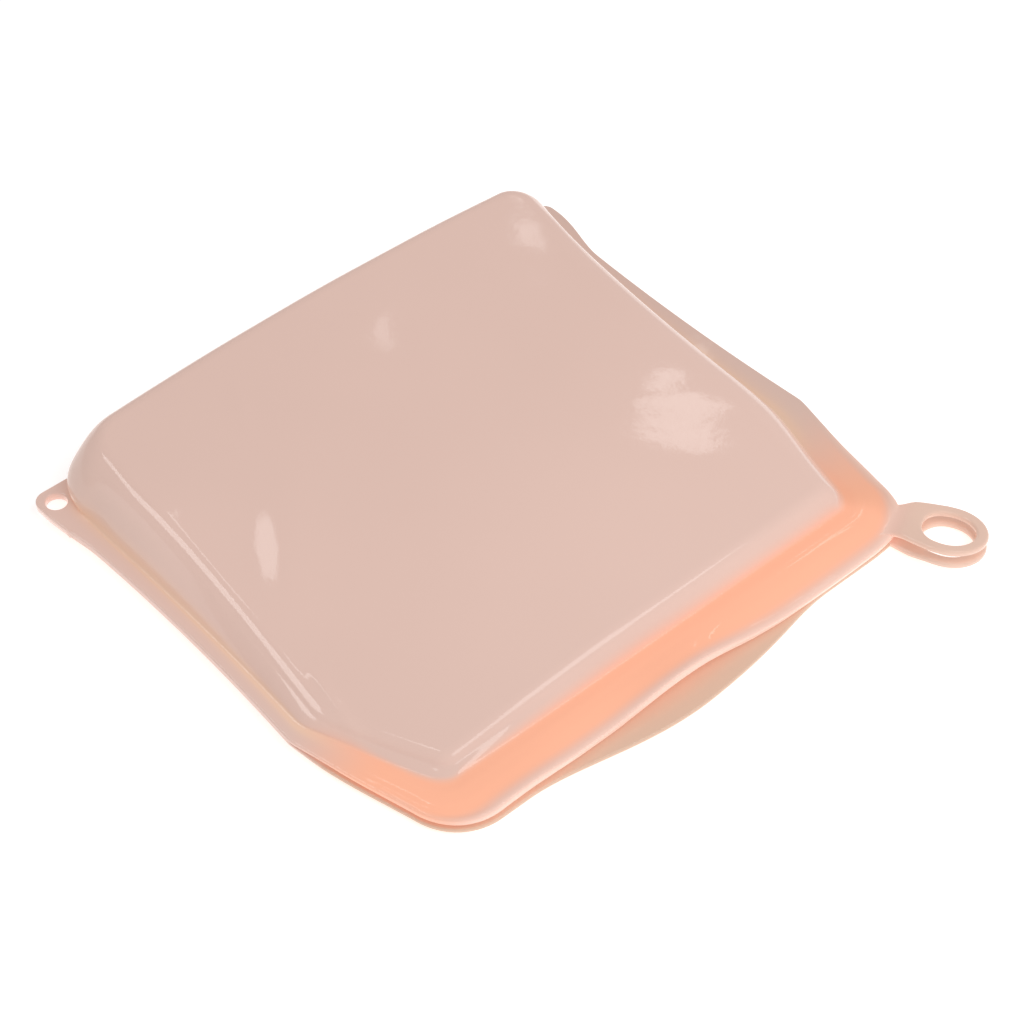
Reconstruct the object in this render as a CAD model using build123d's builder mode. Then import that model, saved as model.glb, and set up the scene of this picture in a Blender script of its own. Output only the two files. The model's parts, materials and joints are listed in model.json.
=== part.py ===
from build123d import *
import os
from math import atan2, cos, hypot, sin

# Reusable silicone bag lying flat on its back wall. Millimetres.
# Origin: centre of the back wall's underside. +Z up, the mouth faces -Y, the closed end faces +Y,
# the hanging loops are at the +X end of the mouth and the eyelet at the -X end of the closed end.

# ---- driving dimensions ----
wall = 1.4              # silicone wall
air = 0.3               # clearance between faces of different moving bodies
kink_y = -33.0          # where the side seams end and the two mouth halves part
kink_half_width = 98.0  # half width over the flanges at the kinks
waist_y = 20.0
waist_half_width = 96.0
ear_start_y = 68.0      # where each side flange starts to widen into its corner ear
ear_start_half_width = 97.3
ear_half_width = 100.4
closed_edge_y = 86.5    # flange edge at the closed end
ear_corner_radius = 4.0

lip_edge_y = -88.0      # mouth edge
lip_half_width = 85.8   # half width of the mouth outline at its edge, before rounding
lip_corner_radius = 18.0
lip_root_y = -82.4      # outer edge of the seal strip, where the lips start
lip_bead_width = 1.6
lip_bead_proud = 0.3    # how far the edge bead stands out of each lip face

back_rim_z = 1.2        # underside of the back half's mouth rim
back_rim_top_z = back_rim_z + wall
seal_height = 1.7       # height of the rib and of the rails
rail_top_z = back_rim_top_z + seal_height
front_rim_z = rail_top_z + air
seam_top_z = front_rim_z + wall
seam_bottom_z = 3.2
ridge_height = 1.2      # finger ridge on the outside of the seal

side_slant = (kink_half_width - lip_half_width) / (kink_y - lip_edge_y)
seal_centre_side = 5.6  # inset of the seal's middle from the mouth outline, along the sides
seal_centre_front = 11.8
seal_end_y = kink_y - 4.0
rib_half_width = 1.3
rib_tip_half_width = 0.9
groove_clearance = 0.45
rail_width = 2.2
band_half_side = 4.0    # half width of the thick seal strip along the sides
band_half_front = 6.2

pouch_front_y = -70.0   # foot of the pouch at the mouth
pouch_front_half = 80.2
pouch_kink_half = 88.4
pouch_closed_half = 90.0
pouch_closed_y = 84.0
pouch_front_radius = 8.0
pouch_closed_radius = 12.0
top_front_y = -66.5     # outline of the raised front panel
top_front_z = 12.0
top_front_half = 76.6
top_kink_half = 83.0
top_closed_half = 77.0
top_closed_y = 82.5
top_closed_z = 24.0
shoulder_radius = 3.5
foot_chamfer = 2.2

loop_centre = (88.7, -99.4)
loop_hole_radius = 7.8
loop_band = 3.6
loop_thickness = 2.0
loop_root = (81.4, -85.0)
loop_root_width = 12.0
loop_root_length = 5.0  # how far the neck is drawn back into the lip before it is cut clear
front_loop_z = 5.6
back_loop_z = 0.6

eyelet_centre = (-95.2, 80.5)
eyelet_hole_radius = 3.2
eyelet_flex_distance = 4.4  # from the hole's centre to the line that the ear bends along


def top_z(y):
    """Height of the front panel's outside above the table."""
    return top_front_z + (top_closed_z - top_front_z) * (y - top_front_y) / (top_closed_y - top_front_y)


def mouth_plate(z, height, side_inset, front_inset, end_y, edge_y=None, radius=lip_corner_radius):
    """Solid inside the mouth outline, pulled in by the two insets, from end_y to its front edge."""
    front = lip_edge_y + front_inset
    back = kink_half_width - side_inset + side_slant * (end_y - kink_y)
    mouth = kink_half_width - side_inset + side_slant * (front - kink_y)
    with BuildPart() as plate:
        with BuildSketch(Plane.XY.offset(z)) as outline:
            Polygon((-back, end_y), (-mouth, front), (mouth, front), (back, end_y), align=None)
            fillet(outline.vertices().group_by(Axis.Y)[0], radius)
        extrude(amount=height)
        if edge_y is not None:
            split(bisect_by=Plane.XZ.offset(-edge_y), keep=Keep.BOTTOM)
    return plate.part


def corner_radius(front_inset):
    """Corner radius of a curve that lies front_inset inside the mouth outline."""
    return lip_corner_radius - 0.6 * front_inset


def seal_strip(z, height, outer, inner, end_y):
    """U-shaped strip of the seal, from outer to inner as signed distances from the seal's middle."""
    around = mouth_plate(
        z, height, seal_centre_side + outer, seal_centre_front + outer, end_y,
        radius=corner_radius(seal_centre_front + outer),
    )
    within = mouth_plate(
        z - 1, height + 2, seal_centre_side + inner, seal_centre_front + inner, end_y + 1,
        radius=corner_radius(seal_centre_front + inner),
    )
    return around - within


def pouch_outline(inset):
    """Closed points of the pouch's foot, pulled in by inset."""
    front = pouch_front_y + inset
    closed = pouch_closed_y - inset
    right = [
        (pouch_front_half - inset, front),
        (pouch_kink_half - inset, kink_y),
        (pouch_closed_half - inset, closed),
    ]
    return [(-x, y) for x, y in reversed(right)] + right


def pouch_plate(z, height, inset):
    """Solid of the pouch's foot outline."""
    with BuildPart() as plate:
        with BuildSketch(Plane.XY.offset(z)) as outline:
            Polygon(*pouch_outline(inset), align=None)
            fillet(outline.vertices().group_by(Axis.Y)[0], pouch_front_radius - inset)
            fillet(outline.vertices().group_by(Axis.Y)[-1], pouch_closed_radius - inset)
        extrude(amount=height)
    return plate.part


def pouch_dome(inset, lowered, rounded):
    """Solid under the raised front panel: pulled in by inset, its top lowered, its shoulder rounded."""
    slope = atan2(top_closed_z - top_front_z, top_closed_y - top_front_y)
    panel = Plane(
        origin=(0, 0, top_z(0) - lowered), x_dir=(1, 0, 0), z_dir=(0, -sin(slope), cos(slope))
    )
    right = [
        (top_front_half - inset, (top_front_y + inset) / cos(slope)),
        (top_kink_half - inset, kink_y / cos(slope)),
        (top_closed_half - inset, (top_closed_y - inset) / cos(slope)),
    ]
    with BuildPart() as dome:
        with BuildSketch(Plane.XY.offset(seam_top_z)) as foot:
            Polygon(*pouch_outline(inset), align=None)
            fillet(foot.vertices().group_by(Axis.Y)[0], pouch_front_radius - inset)
            fillet(foot.vertices().group_by(Axis.Y)[-1], pouch_closed_radius - inset)
        with BuildSketch(panel) as top:
            Polygon(*[(-x, y) for x, y in reversed(right)] + right, align=None)
            fillet(top.vertices().group_by(Axis.Y)[0], pouch_front_radius - inset)
            fillet(top.vertices().group_by(Axis.Y)[-1], pouch_closed_radius - inset)
        loft(ruled=True)
        if rounded:
            crown = dome.faces().sort_by(Axis.Z)[-1]
            fillet(crown.edges(), rounded)
    return dome.part


def flange_plate(z, height):
    """Solid of the bag's outline from the kinks to the closed end, ears included."""
    with BuildPart() as plate:
        with BuildSketch(Plane.XY.offset(z)) as outline:
            with BuildLine():
                Line((-kink_half_width, kink_y), (kink_half_width, kink_y))
                ThreePointArc(
                    (kink_half_width, kink_y),
                    (waist_half_width, waist_y),
                    (ear_start_half_width, ear_start_y),
                )
                Line((ear_start_half_width, ear_start_y), (ear_half_width, ear_start_y + 11))
                Line((ear_half_width, ear_start_y + 11), (ear_half_width, closed_edge_y))
                Line((ear_half_width, closed_edge_y), (-ear_half_width, closed_edge_y))
                Line((-ear_half_width, closed_edge_y), (-ear_half_width, ear_start_y + 11))
                Line((-ear_half_width, ear_start_y + 11), (-ear_start_half_width, ear_start_y))
                ThreePointArc(
                    (-ear_start_half_width, ear_start_y),
                    (-waist_half_width, waist_y),
                    (-kink_half_width, kink_y),
                )
            make_face()
            fillet(outline.vertices().group_by(Axis.Y)[-1], ear_corner_radius)
        extrude(amount=height)
    return plate.part


def save(part, name):
    """Labels a finished piece and writes its STEP file."""
    part.label = name
    export_step(part, "parts/" + name + ".step")


os.makedirs("parts", exist_ok=True)

reach = 400.0           # side of the blocks that cut the seam into its stretches
flap_gap_y = kink_y - air

# ---- back wall: shallow tray that the bag lies on ----
with BuildPart() as back_wall:
    add(pouch_plate(0, seam_bottom_z, 0))
    chamfer(back_wall.faces().sort_by(Axis.Z)[0].edges(), foot_chamfer)
    add(pouch_plate(wall, seam_bottom_z, wall + 0.6), mode=Mode.SUBTRACT)
save(back_wall.part, "back_wall")

# ---- side and closed-end seams: the bonded edge between the two halves ----
seam_height = seam_top_z - seam_bottom_z
ear_line = (eyelet_centre[1] - eyelet_centre[0]) / 2**0.5 - eyelet_flex_distance
ear_plane = Plane(
    origin=(-ear_line / 2**0.5, ear_line / 2**0.5, 0), z_dir=(-1, 1, 0)
)
ear_block = ear_plane * Box(60, 60, 60, align=(Align.CENTER, Align.CENTER, Align.MIN))
ear_gap_plane = ear_plane.offset(-air)
ear_gap_block = ear_gap_plane * Box(60, 60, 60, align=(Align.CENTER, Align.CENTER, Align.MIN))

with BuildPart() as seam_ring:
    add(flange_plate(seam_bottom_z, seam_height))
    add(pouch_plate(seam_bottom_z - 1, seam_height + 2, wall), mode=Mode.SUBTRACT)
seam_ring_part = seam_ring.part

end_strip_y = pouch_closed_y - pouch_closed_radius
end_block = Pos(0, end_strip_y + 50, 0) * Box(2 * (pouch_closed_half - 4), 100, reach)
with BuildPart() as closed_end_seam:
    add(seam_ring_part)
    add(end_block, mode=Mode.INTERSECT)
save(closed_end_seam.part, "closed_end_seam")

side_block = Pos(reach / 2, 0, 0) * Box(reach, reach, reach)
with BuildPart() as right_side_seam:
    add(seam_ring_part)
    add(end_block, mode=Mode.SUBTRACT)
    add(side_block, mode=Mode.INTERSECT)
save(right_side_seam.part, "right_side_seam")

with BuildPart() as left_side_seam:
    add(seam_ring_part)
    add(end_block, mode=Mode.SUBTRACT)
    add(side_block, mode=Mode.SUBTRACT)
    add(ear_gap_block, mode=Mode.SUBTRACT)
save(left_side_seam.part, "left_side_seam")

# ---- corner eyelet: the ear with a hole for a hook ----
with BuildPart() as corner_eyelet:
    add(seam_ring_part)
    add(end_block, mode=Mode.SUBTRACT)
    add(side_block, mode=Mode.SUBTRACT)
    add(ear_block, mode=Mode.INTERSECT)
    with BuildSketch(Plane.XY.offset(seam_bottom_z)):
        with Locations(eyelet_centre):
            Circle(eyelet_hole_radius)
    extrude(amount=seam_height, mode=Mode.SUBTRACT)
save(corner_eyelet.part, "corner_eyelet")

# ---- pouch shell: raised front panel, split where the mouth half starts to bend ----
dome_outer = pouch_dome(0, 0, shoulder_radius)
dome_inner = pouch_dome(wall, wall, shoulder_radius - wall)
with BuildPart() as front_wall:
    add(dome_outer)
    add(dome_inner, mode=Mode.SUBTRACT)
    split(bisect_by=Plane.XZ.offset(-kink_y), keep=Keep.BOTTOM)
save(front_wall.part, "front_wall")

with BuildPart() as front_mouth_panel:
    add(dome_outer)
    add(dome_inner, mode=Mode.SUBTRACT)
    split(bisect_by=Plane.XZ.offset(-flap_gap_y), keep=Keep.TOP)
save(front_mouth_panel.part, "front_mouth_panel")

# ---- mouth rims: the flat margins of both halves that carry the seal ----
with BuildPart() as back_mouth_rim:
    add(mouth_plate(back_rim_z, wall, 0, 0, kink_y, lip_root_y))
    add(pouch_plate(back_rim_z - 1, wall + 2, 0), mode=Mode.SUBTRACT)
save(back_mouth_rim.part, "back_mouth_rim")

with BuildPart() as front_mouth_rim:
    add(mouth_plate(front_rim_z, wall, 0, 0, flap_gap_y, lip_root_y))
    add(pouch_plate(front_rim_z - 1, wall + 2, wall), mode=Mode.SUBTRACT)
save(front_mouth_rim.part, "front_mouth_rim")

# ---- seal: two rails on the back half, the rib between them on the front half ----
gap = rib_half_width + groove_clearance
rib_step = seal_height / 2  # the rib narrows half way down, so that it leaves the groove freely
with BuildPart() as seal_inner_rail:
    add(seal_strip(back_rim_top_z, seal_height, gap, gap + rail_width, seal_end_y))
save(seal_inner_rail.part, "seal_inner_rail")

with BuildPart() as seal_outer_rail:
    add(seal_strip(back_rim_top_z, seal_height, -gap - rail_width, -gap, seal_end_y))
save(seal_outer_rail.part, "seal_outer_rail")

with BuildPart() as seal_rib:
    for step, half_width in ((1, rib_half_width), (2, rib_tip_half_width)):
        add(seal_strip(front_rim_z - step * rib_step, rib_step, -half_width, half_width, seal_end_y))
save(seal_rib.part, "seal_rib")

# ---- finger ridge: the thick outside of the seal that is pressed to shut the bag ----
with BuildPart() as pinch_ridge:
    add(seal_strip(seam_top_z, ridge_height, -band_half_side, band_half_side, seal_end_y))
    chamfer(pinch_ridge.faces().sort_by(Axis.Z)[-1].edges(), ridge_height * 0.6)
save(pinch_ridge.part, "pinch_ridge")


def lip_bead(z, gap_y):
    """Thickened edge that runs round a lip."""
    height = wall + 2 * lip_bead_proud
    with BuildPart() as bead:
        add(mouth_plate(z - lip_bead_proud, height, -lip_bead_proud, -lip_bead_proud, kink_y))
        add(
            mouth_plate(
                z - 1, height + 2, lip_bead_width, lip_bead_width, kink_y + 1,
                radius=lip_corner_radius - lip_bead_width,
            ),
            mode=Mode.SUBTRACT,
        )
        split(bisect_by=Plane.XZ.offset(-gap_y), keep=Keep.TOP)
    return bead.part


def lip(z, gap_y):
    """Flat strip of the mouth outside the seal, inside its bead."""
    with BuildPart() as strip:
        add(
            mouth_plate(
                z, wall, lip_bead_width, lip_bead_width, kink_y,
                radius=lip_corner_radius - lip_bead_width,
            )
        )
        split(bisect_by=Plane.XZ.offset(-gap_y), keep=Keep.TOP)
    return strip.part


# ---- lips: the pull tabs in front of the seal ----
front_lip_y = lip_root_y - air
for half, rim_z, edge_y in (("back", back_rim_z, lip_root_y), ("front", front_rim_z, front_lip_y)):
    save(lip(rim_z, edge_y), half + "_lip")
    save(lip_bead(rim_z, edge_y), half + "_lip_bead")

# ---- hanging loops: one ring on a short neck on each half, their holes in line ----
loop_dx = loop_centre[0] - loop_root[0]
loop_dy = loop_centre[1] - loop_root[1]
loop_length = hypot(loop_dx, loop_dy)


def loop(z):
    """Ring that runs into a neck as wide as its root, and ends clear of the lip."""
    along = Plane(origin=(*loop_root, z), x_dir=(loop_dx, loop_dy, 0), z_dir=(0, 0, 1))
    with BuildPart() as ring:
        with BuildSketch(along):
            with Locations((-loop_root_length / 2, 0)):
                Rectangle(loop_root_length, loop_root_width)
            with Locations((loop_length, 0)):
                Circle(loop_hole_radius + loop_band)
            make_hull()
            with Locations((loop_length, 0)):
                Circle(loop_hole_radius, mode=Mode.SUBTRACT)
        extrude(amount=loop_thickness)
        add(
            mouth_plate(z - 1, loop_thickness + 2, -air - lip_bead_proud, -air - lip_bead_proud, kink_y + 10),
            mode=Mode.SUBTRACT,
        )
    return ring.part


save(loop(front_loop_z), "front_loop")
save(loop(back_loop_z), "back_loop")

print("mouth hinge at y", kink_y, "z", round(top_z(kink_y), 3))
print("front lip hinge at y", front_lip_y + air / 2, "z", seam_top_z)
print("loop direction", round(loop_dx / loop_length, 4), round(loop_dy / loop_length, 4))
print("eyelet bend line at", round(ear_line / 2**0.5, 3))
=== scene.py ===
import json
import math
import bpy
import numpy as np
from mathutils import Matrix, Vector
from mathutils.geometry import delaunay_2d_cdt


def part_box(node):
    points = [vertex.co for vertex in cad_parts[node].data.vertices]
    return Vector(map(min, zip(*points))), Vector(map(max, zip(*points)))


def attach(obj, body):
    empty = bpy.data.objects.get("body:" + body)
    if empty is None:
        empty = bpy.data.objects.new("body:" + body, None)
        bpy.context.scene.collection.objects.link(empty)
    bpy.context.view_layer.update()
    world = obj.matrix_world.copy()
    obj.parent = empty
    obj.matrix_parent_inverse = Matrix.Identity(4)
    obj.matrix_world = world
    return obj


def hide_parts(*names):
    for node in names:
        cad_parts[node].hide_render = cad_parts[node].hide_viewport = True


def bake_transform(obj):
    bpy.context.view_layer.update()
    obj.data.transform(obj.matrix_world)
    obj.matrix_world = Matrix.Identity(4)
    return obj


# Reusable silicone bag. The meshes are worked out in millimetres and stored in metres.
# Each half of the bag is one smooth sheet with thickness, made of rings that follow the outline from the
# flange's edge up to the panel, and a grid that fills the panel. The pieces are cut out of the halves where
# the silicone bends about a joint, so that they meet without a visible line.

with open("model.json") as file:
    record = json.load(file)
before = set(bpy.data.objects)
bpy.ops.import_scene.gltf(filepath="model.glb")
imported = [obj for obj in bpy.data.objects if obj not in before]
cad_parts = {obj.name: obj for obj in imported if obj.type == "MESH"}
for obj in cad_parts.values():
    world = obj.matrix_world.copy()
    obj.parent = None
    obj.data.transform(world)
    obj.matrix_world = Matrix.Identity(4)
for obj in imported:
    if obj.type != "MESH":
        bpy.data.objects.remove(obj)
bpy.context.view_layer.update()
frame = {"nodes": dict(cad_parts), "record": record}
MM = 0.001


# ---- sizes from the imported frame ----
def low_high(node):
    """Lowest and highest corner of a CAD node, in millimetres."""
    low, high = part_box(node)
    return np.array(low) / MM, np.array(high) / MM


def mount(name):
    """A mount of the record."""
    return next(m for m in frame["record"]["mounts"] if m["name"] == name)


back_rim_low, back_rim_high = low_high("back_mouth_rim")
front_rim_low, front_rim_high = low_high("front_mouth_rim")
seam_low, seam_high = low_high("closed_end_seam")
bead_low, bead_high = low_high("front_lip_bead")

WALL = back_rim_high[2] - back_rim_low[2]
KINK_Y = back_rim_high[1]
KINK_HALF = back_rim_high[0]
FRONT_RIM_Z = front_rim_low[2]
SEAM_TOP_Z = front_rim_high[2]
SEAM_LOW_Z = seam_low[2]
BACK_RIM_Z = back_rim_low[2]
BEAD_PROUD = bead_high[2] - SEAM_TOP_Z
LIP_EDGE_Y = bead_low[1] + BEAD_PROUD
EAR_HALF = -low_high("corner_eyelet")[0][0]
CLOSED_EDGE_Y = seam_high[1]
RIDGE_HEIGHT = low_high("pinch_ridge")[1][2] - SEAM_TOP_Z
EYELET = np.array(mount("eyelet_hole")["pos_m"]) / MM
EYELET_RADIUS = mount("eyelet_hole")["dims"]["r_mm"]
LOOP_HOLE = mount("front_loop_hole")["dims"]["r_mm"]

# ---- sizes of the moulding that a box doesn't give ----
LIP_HALF = 85.8                        # half width of the mouth outline at its edge, before rounding
SEAL_SIDE, SEAL_FRONT = 5.6, 11.8      # inset of the seal's middle from the mouth outline
RIB_HALF, RIB_TIP_HALF, RIB_HEIGHT = 1.3, 0.9, 1.7
RIB_END_Y = -37.0
WAIST_Y, WAIST_HALF = 20.0, 96.0
EAR_START_Y, EAR_START_HALF = 68.0, 97.3
EAR_WIDENS = (56.0, 81.0)              # the flange widens into its corner ears between these y
SIDE_SLANT = (KINK_HALF - LIP_HALF) / (KINK_Y - LIP_EDGE_Y)
BAND_SIDE, BAND_FRONT = 4.6, 5.9       # half width of the thick band at the sides and along the mouth
EDGE_ROUND = 0.6                       # rounding of a free edge
BONDED_ROUND = 0.1                     # what is left of it where the halves are bonded
LOOP_ROOT = np.array((81.4, -85.0))
LOOP_WAY = np.array((0.4522, -0.8919))
LOOP_SIDE = np.array((0.8919, 0.4522))
LOOP_FILLET = 2.0                      # how far the lips' edge reaches out at the loops' root

# ---- where the filled, softly lying bag differs from its plain moulding ----
# Corners (x, y) of each outline, and their radii, in the order eyelet corner, left kink, left mouth, right
# mouth, right kink, right corner. The flank leaves the flange at the foot and meets the panel at the top, and
# the band runs along the seal.
FOOT_CORNERS = ((-91.2, 84.0), (-92.6, -31.0), (-76.2, -71.8), (75.5, -71.8), (88.0, -32.0), (91.5, 83.0))
BAND_CORNERS = ((-92.5, 84.9), (-94.8, -33.0), (-82.0, -78.3), (80.0, -78.3), (91.4, -33.0), (94.0, 84.9))
TOP_CORNERS = ((-84.6, 84.2), (-88.8, -35.0), (-73.4, -68.6), (72.6, -68.4), (82.2, -32.0), (87.4, 85.0))
EDGE_RADII = (4.0, 30.0, 18.0, 18.0, 30.0, 4.0)
FOOT_RADII = (13.5, 15.0, 7.0, 7.0, 80.0, 10.0)
BAND_RADII = (14.0, 20.0, 10.5, 10.5, 60.0, 9.0)
TOP_RADII = (14.0, 20.0, 5.5, 5.5, 150.0, 9.0)
RIB_RADII = (4.0, 30.0, 10.9, 10.9, 30.0, 4.0)
FLANK_BOW = (1.4, -31, 72)             # how far the long sides pull in, and between which y
PANEL_BOW = (2.0, -33, 80)
TOP_FRONT_Y, TOP_FRONT_Z = -67.5, 12.0
TOP_CLOSED_Y, TOP_CLOSED_Z = 82.5, 24.3
PANEL_SLOPE = (TOP_CLOSED_Z - TOP_FRONT_Z) / (TOP_CLOSED_Y - TOP_FRONT_Y)
FOOT_FILLET = 1.4                      # reach of the bend at the flank's foot, out on the flange
# reach of the other bends: all round, how much more at the closed end, and how much more at the right
FOOT_REACH = (1.8, 1.6)                # up the flank from its foot
SHOULDER_REACH = (3.4, 3.2, 2.6)       # down the flank from the panel
RIM_REACH = (4.0, 1.0, 3.0)            # in on the panel
TRAY_INSET = 4.0                       # from the foot's outline in to the flat of the tray

DRIFT = -1.1                           # sideways shift of the whole bag between the mouth and the ears
MOUTH_PUSH = -2.0                      # how far both lips bow out at the right of the mouth
BACK_LIP_BOW = -7.9                    # how far the back lip bows out in front of the lifted front lip
BACK_PUSH = 0.75                       # share of MOUTH_PUSH that the back lip takes
LIP_WAVES = (1.5, 3.2, -1.4)           # rise of the front lip at the left, in the middle and at the right
FLANK_BULGE = 0.6                      # how far the flanks bulge all round
CLOSED_BULGE, CORNER_BULGE = 1.8, 2.4  # and how much more at the closed end and at the eyelet corner
CLOSED_BOW = 2.4                       # how far the panel's closed end bows out
SAG, CROWN = -5.0, 1.6                 # the panel's drop beside the left kink, and its rise in the middle
RIPPLES = (0.035, 0.03)                # heights of the panel's two faint ripples

# folds in the panel: middle, direction, half length, width and height
FOLDS = (
    ((-60.5, 13.0), (-0.57, -0.82), 36.0, 8.5, 0.45),
    ((-83.0, -35.0), (-0.13, -0.99), 17.0, 2.0, 0.5),
    ((-41.0, 60.0), (-0.42, -0.91), 18.0, 2.5, 0.12),
)

# ---- how finely the sheets are divided ----
CORNER = 16                            # segments in each corner arc
BEND = 8                               # segments in each kink
SIDE, FLANK, ACROSS = 72, 34, 110      # segments from closed corner to kink, kink to mouth, along the mouth
LEFT = CORNER // 2 + SIDE + BEND + FLANK + CORNER // 2
WIDE = CORNER + ACROSS
AROUND = 2 * (LEFT + WIDE)
# rings as shares of the way from the edge to the band's middle, and how many follow on each further stretch
FLANGE_STEPS = (0.06, 0.12, 0.2, 0.31, 0.44, 0.58, 0.72, 0.86, 1.0)
INNER_FLANGE_RINGS, FOOT_RINGS, FLANK_RINGS, SHOULDER_RINGS, TRAY_RINGS = 7, 6, 5, 10, 8
EDGE_STEPS = 4                         # rings in each half of a rounded edge


def smooth(x, a, b):
    """0 at a and before it, 1 at b and after it, eased between them."""
    t = np.clip((np.asarray(x, float) - a) / (np.asarray(b, float) - a), 0, 1)
    return t * t * (3 - 2 * t)


def hump(x, middle, half):
    """1 at the middle, falling smoothly to 0 at half away from it."""
    t = np.clip(np.abs(np.asarray(x, float) - middle) / half, 0, 1)
    return (1 - t * t) ** 2


# ---- outlines ----
def arc(corner, back, on, radius, steps):
    """Points of the arc that rounds a corner. back and on are unit vectors towards its two neighbours."""
    half = math.acos(np.clip(back @ on, -1, 1)) / 2
    centre = corner + (back + on) / np.linalg.norm(back + on) * radius / math.sin(half)
    first = corner + back * radius / math.tan(half) - centre
    turn = np.linspace(0, math.pi - 2 * half, steps + 1)
    return centre + np.stack([
        first[0] * np.cos(turn) - first[1] * np.sin(turn),
        first[0] * np.sin(turn) + first[1] * np.cos(turn),
    ], 1)


def outline(corners, radii):
    """Points round a rounded outline, the first one in the middle of the arc at the eyelet corner.
    They run down the left side, along the mouth, up the right side and back along the closed end."""
    corners = np.array(corners, float)
    arcs = []
    for i, steps in enumerate((CORNER, BEND, CORNER, CORNER, BEND, CORNER)):
        back, on = corners[i - 1] - corners[i], corners[(i + 1) % 6] - corners[i]
        back, on = back / np.linalg.norm(back), on / np.linalg.norm(on)
        arcs.append(arc(corners[i], back, on, radii[i], steps))
    points = []
    for i, count in enumerate((SIDE, FLANK, ACROSS, FLANK, SIDE, ACROSS)):
        points += [arcs[i], np.linspace(arcs[i][-1], arcs[(i + 1) % 6][0], count + 1)[1:-1]]
    return np.roll(np.concatenate(points), -(CORNER // 2), axis=0)


def outward(ring):
    """Unit vectors that point out of a closed outline drawn anticlockwise, in plan."""
    along = np.roll(ring, -1, 0)[:, :2] - np.roll(ring, 1, 0)[:, :2]
    along /= np.maximum(np.linalg.norm(along, axis=1), 1e-9)[:, None]
    return np.stack([along[:, 1], -along[:, 0]], 1)


def waisted(ring):
    """Pulls the long sides in to the waist and out to the ears, from a straight line between kink and ear."""
    y = ring[:, 1]
    line = KINK_HALF + (EAR_HALF - KINK_HALF) * (y - KINK_Y) / (CLOSED_EDGE_Y - KINK_Y)
    t = (y - KINK_Y) / (EAR_START_Y - KINK_Y)
    middle = (WAIST_Y - KINK_Y) / (EAR_START_Y - KINK_Y)
    straight = KINK_HALF + (EAR_START_HALF - KINK_HALF) * t
    dip = WAIST_HALF - (KINK_HALF + (EAR_START_HALF - KINK_HALF) * middle)
    curve = straight + dip * t * (1 - t) / (middle * (1 - middle))
    real = curve + (EAR_HALF - curve) * smooth(y, *EAR_WIDENS)
    on_side = np.abs(ring[:, 0]) > 80
    moved = ring.copy()
    moved[:, 0] += np.sign(ring[:, 0]) * np.where(y > KINK_Y, real - line, 0) * on_side
    return moved


def bowed(ring, depth, low, high):
    """Pulls the long sides in by depth half way between low and high."""
    t = np.clip((ring[:, 1] - low) / (high - low), 0, 1)
    on_side = np.abs(ring[:, 0]) > 60
    moved = ring.copy()
    moved[:, 0] -= np.sign(ring[:, 0]) * depth * 4 * t * (1 - t) * on_side
    return moved


def mouth_corners(side, front):
    """Corners of the mouth outline pulled in by side and front, closed off by the flange's own outline."""
    y = LIP_EDGE_Y + front
    kink, mouth = KINK_HALF - side, KINK_HALF - side - SIDE_SLANT * (KINK_Y - y)
    right = [(mouth, y), (kink, KINK_Y), (EAR_HALF, CLOSED_EDGE_Y)]
    return [(-x, y) for x, y in reversed(right)] + right


def reaching_out(ring):
    """The flange's edge, drawn out where the loops' root leaves it."""
    sideways = (ring - LOOP_ROOT) @ LOOP_SIDE
    near = np.linalg.norm(ring - LOOP_ROOT, axis=1) < 20
    return ring + LOOP_WAY * (near * LOOP_FILLET * hump(sideways, 1.5, 12))[:, None]


EDGE = reaching_out(waisted(outline(mouth_corners(0, 0), EDGE_RADII)))
FOOT = bowed(outline(FOOT_CORNERS, FOOT_RADII), *FLANK_BOW)
MIDDLE = bowed(outline(BAND_CORNERS, BAND_RADII), *FLANK_BOW)
TOP = bowed(outline(TOP_CORNERS, TOP_RADII), *PANEL_BOW)
EDGE_OUT = outward(EDGE)
# 0 where the halves are bonded, 1 where they part
PARTED = smooth(-MIDDLE[:, 1], -KINK_Y - 1, -KINK_Y + 9)
PARTED_ROUND = BONDED_ROUND + (EDGE_ROUND - BONDED_ROUND) * PARTED
BAND_HALF = BAND_SIDE + (BAND_FRONT - BAND_SIDE) * smooth(-MIDDLE[:, 1], 66, 76)


# ---- rings and sheets ----
def top_z(y):
    """Height of the front panel's outside."""
    return TOP_FRONT_Z + PANEL_SLOPE * (y - TOP_FRONT_Y)


def with_z(ring, z):
    """A plan outline as points in space. z is one height or one for each point."""
    return np.column_stack([ring, np.broadcast_to(z, len(ring))])


def between(a, b, count):
    """Rings from a to b, a left out."""
    return [a + (b - a) * k / count for k in range(1, count + 1)]


def rounded(a, control, b, count):
    """Rings along the curve that runs from a to b and is pulled to control, a left out."""
    shares = [k / count for k in range(1, count + 1)]
    return [a * (1 - t) ** 2 + control * 2 * t * (1 - t) + b * t * t for t in shares]


def toward(a, b, distance):
    """The points at that distance from a, on the way to b."""
    way = b - a
    return a + way / np.linalg.norm(way, axis=1)[:, None] * np.reshape(distance, (-1, 1))


def patch(ring):
    """Plan positions of the grid inside a ring, from its four sides."""
    left = ring[np.arange(LEFT + 1)]
    right = ring[(2 * LEFT + WIDE - np.arange(LEFT + 1)) % AROUND]
    closed = ring[(AROUND - np.arange(WIDE + 1)) % AROUND]
    mouth = ring[LEFT + np.arange(WIDE + 1)]
    b = np.linspace(0, 1, LEFT + 1)[:, None, None]
    a = np.linspace(0, 1, WIDE + 1)[None, :, None]
    sides = (1 - a) * left[:, None] + a * right[:, None] + (1 - b) * closed[None] + b * mouth[None]
    corners = (1 - a) * (1 - b) * closed[0] + a * (1 - b) * closed[-1] \
        + (1 - a) * b * mouth[0] + a * b * mouth[-1]
    return sides - corners


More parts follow.
